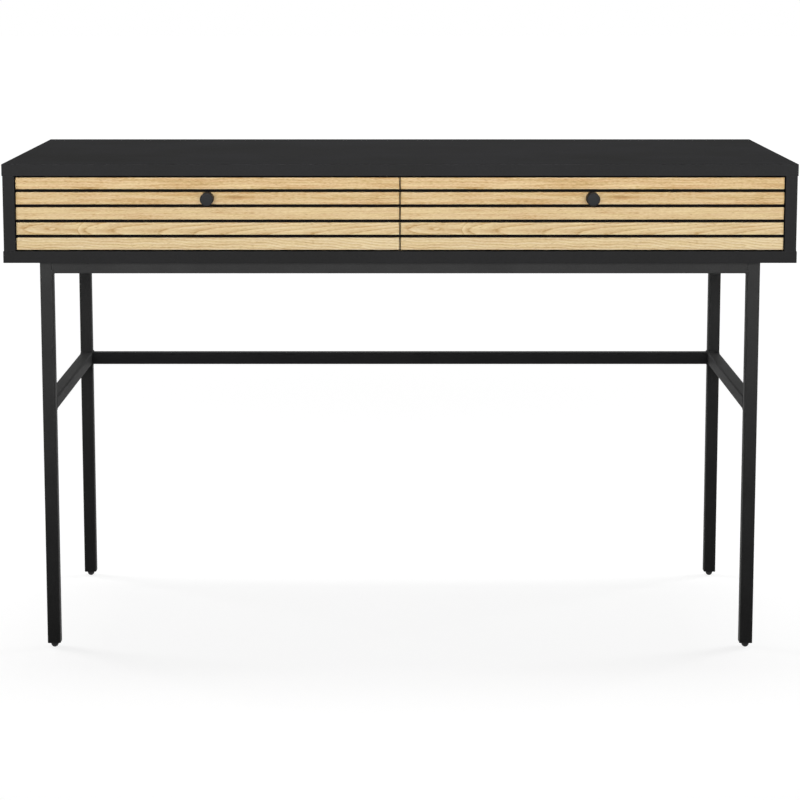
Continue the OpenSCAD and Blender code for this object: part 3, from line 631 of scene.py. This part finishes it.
# The darker rim is painted shade as well.
shaded_rim_tone = coloured_edges(lacquered_metal, tool_marks_and_shaded_side, 0.8 * MM, "#111112")
mark_gloss = add(lacquered_metal, "MapRange", {"Value": dust, "To Min": 0.42, "To Max": 0.58})
mark_bump = add(lacquered_metal, "Bump", {"Height": tool_marks, "Distance": 0.03 * MM, "Strength": 0.6})
apply_finish(lacquered_metal, shader, shaded_rim_tone, mark_gloss, mark_bump)


def knob_grid(low, high, radius, rim):
    """A profile of radius against distance from the back, turned about an axis along Y: up the wall of the
    screw's hole, out over the back, round its small chamfer, along the side, round a quarter circle at the
    rim and in over the face, which is crowned by the square of the radius."""
    crown = 0.15 * MM
    chamfer = 0.3 * MM
    hole = 2.05 * MM
    hole_deep = 13 * MM
    centre_spot = 0.4 * MM
    back_steps, side_steps, rim_steps, face_steps = 5, 8, 8, 11
    steps_around = 96

    length = high[1] - low[1]
    shoulder = length - rim - crown
    back = np.linspace(hole, radius, back_steps + 1)[1:-1]
    side = np.linspace(chamfer, shoulder, side_steps + 1)[1:]
    quarter = np.linspace(0, np.pi / 2, rim_steps + 1)
    face = np.linspace(radius - rim, centre_spot, face_steps + 1)[1:]
    profile = outline_points((hole, [hole_deep, 0]),
                             (back, 0),
                             ([radius - chamfer, radius], [0, chamfer]),
                             (radius, side),
                             (radius - rim + rim * np.cos(quarter), shoulder + rim * np.sin(quarter)),
                             (face, length - crown * (face / (radius - rim)) ** 2))
    r, out = profile[:, :1], profile[:, 1:]
    angle = np.linspace(0, 2 * np.pi, steps_around, endpoint=False)[None, :]
    x = (low[0] + high[0]) / 2 + r * np.cos(angle)
    y = np.broadcast_to(high[1] - out, x.shape)
    z = (low[2] + high[2]) / 2 + r * np.sin(angle)
    turned = np.stack(np.broadcast_arrays(r, out, angle * radius), -1)
    return np.stack([x, y, z], -1), turned


for side in SIDES:
    node = f"{side}_drawer_knob"
    grid, turned = knob_grid(*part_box(node), knob_radius, rim)
    knob = skin(f"{node}_turned", grid, lacquered_metal, attributes=[("turned", turned)])
    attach(knob, f"{side}_drawer")
    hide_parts(node)


# ---- Floor, lamps and surround ----
# A plain pale studio: a white floor and surround, with soft lamps in front of the case, above it and to
# each side.

def seen_directly(owner):
    """1 for what the camera, a reflection or glass shows, 0 for light that falls on the object."""
    camera_ray, glossy_ray, transmission_ray = (add(owner, "LightPath", {}, f"Is {kind} Ray")
                                                for kind in ("Camera", "Glossy", "Transmission"))
    seen = add(owner, "Math", {"Value": camera_ray, "Value_001": glossy_ray}, operation="MAXIMUM")
    return add(owner, "Math", {"Value": seen, "Value_001": transmission_ray}, operation="MAXIMUM")


# Painted studio floor: it takes the desk's soft shadow near by and fades into the white surround. Its own
# glow of 0.82 brings it nearly to white, and the lamps add the rest where nothing shades it.
floor_paint, shader = new_material("studio_floor", "#8e8e8e", 0.9, Specular_IOR_Level=0.0)
place = add(floor_paint, "TexCoord", {}, "Object")
away = add(floor_paint, "VectorMath", {"Vector": place}, "Value", operation="LENGTH")
fade = add(floor_paint, "MapRange", {"Value": away, "From Min": 1.2, "From Max": 3.5},
           interpolation_type="SMOOTHSTEP")
glow = add(floor_paint, "MapRange", {"Value": fade, "To Min": 0.82, "To Max": 1.0})
glow_seen = add(floor_paint, "Math", {"Value": glow, "Value_001": seen_directly(floor_paint)},
                operation="MULTIPLY")
shader.inputs["Emission Color"].default_value = linear("#ffffff")
floor_paint.node_tree.links.new(glow_seen, shader.inputs["Emission Strength"])

reach = 30.0
floor_mesh = bpy.data.meshes.new("floor")
floor_corners = [(-reach, -reach, 0), (reach, -reach, 0), (reach, reach, 0), (-reach, reach, 0)]
floor_mesh.from_pydata(floor_corners, [], [(0, 1, 2, 3)])
floor_mesh.materials.append(floor_paint)
floor = bpy.data.objects.new("floor", floor_mesh)
bpy.context.scene.collection.objects.link(floor)

surround = bpy.data.worlds.new("studio")
surround.use_nodes = True
bpy.context.scene.world = surround
surround_light = 0.13
backdrop = surround.node_tree.nodes["Background"]
backdrop.inputs["Color"].default_value = linear("#ffffff")
backdrop_strength = add(surround, "MapRange", {"Value": seen_directly(surround),
                                               "To Min": surround_light, "To Max": 1.0})
surround.node_tree.links.new(backdrop_strength, backdrop.inputs["Strength"])


def new_softbox(name, place, aim, width, height, power, spread):
    """A rectangular lamp at a place, turned to its aim, whose light spreads over this many degrees."""
    lamp = bpy.data.lights.new(name, "AREA")
    lamp.shape = "RECTANGLE"
    lamp.size = width
    lamp.size_y = height
    lamp.energy = power
    lamp.spread = np.radians(spread)
    softbox = bpy.data.objects.new(name, lamp)
    softbox.location = place
    softbox.rotation_mode = "QUATERNION"
    softbox.rotation_quaternion = (Vector(aim) - Vector(place)).to_track_quat("-Z", "Y")
    softbox.visible_camera = False
    bpy.context.scene.collection.objects.link(softbox)


new_softbox("front_softbox", place=(0, -2.1, 0.88), aim=(0, -0.24, 1.14),
            width=3.0, height=0.45, power=13.8, spread=66)
new_softbox("top_softbox", place=(0, 0.4, 3.0), aim=(0, 0.0, 0.76),
            width=2.4, height=0.9, power=18, spread=110)
for side, out in (("left", -2.8), ("right", 2.8)):
    new_softbox(f"{side}_softbox", place=(out, 1.1, 1.3), aim=(0, 0, 0.6),
                width=1.2, height=1.2, power=20, spread=110)


# ---- Camera ----
# In front of the desk, a little over its top, with a long lens. The lens is shifted down, so that the
# uprights stay nearly parallel.

tilt_down = 7.86
lens = bpy.data.cameras.new("camera")
lens.lens = 104.7
lens.sensor_width = 36
lens.shift_y = -0.145
camera = bpy.data.objects.new("camera", lens)
camera.location = (0, -3.73, 1.06)
camera.rotation_euler = (np.radians(90 - tilt_down), 0, 0)
bpy.context.scene.collection.objects.link(camera)
bpy.context.scene.camera = camera
bpy.context.scene.view_settings.view_transform = "Standard"
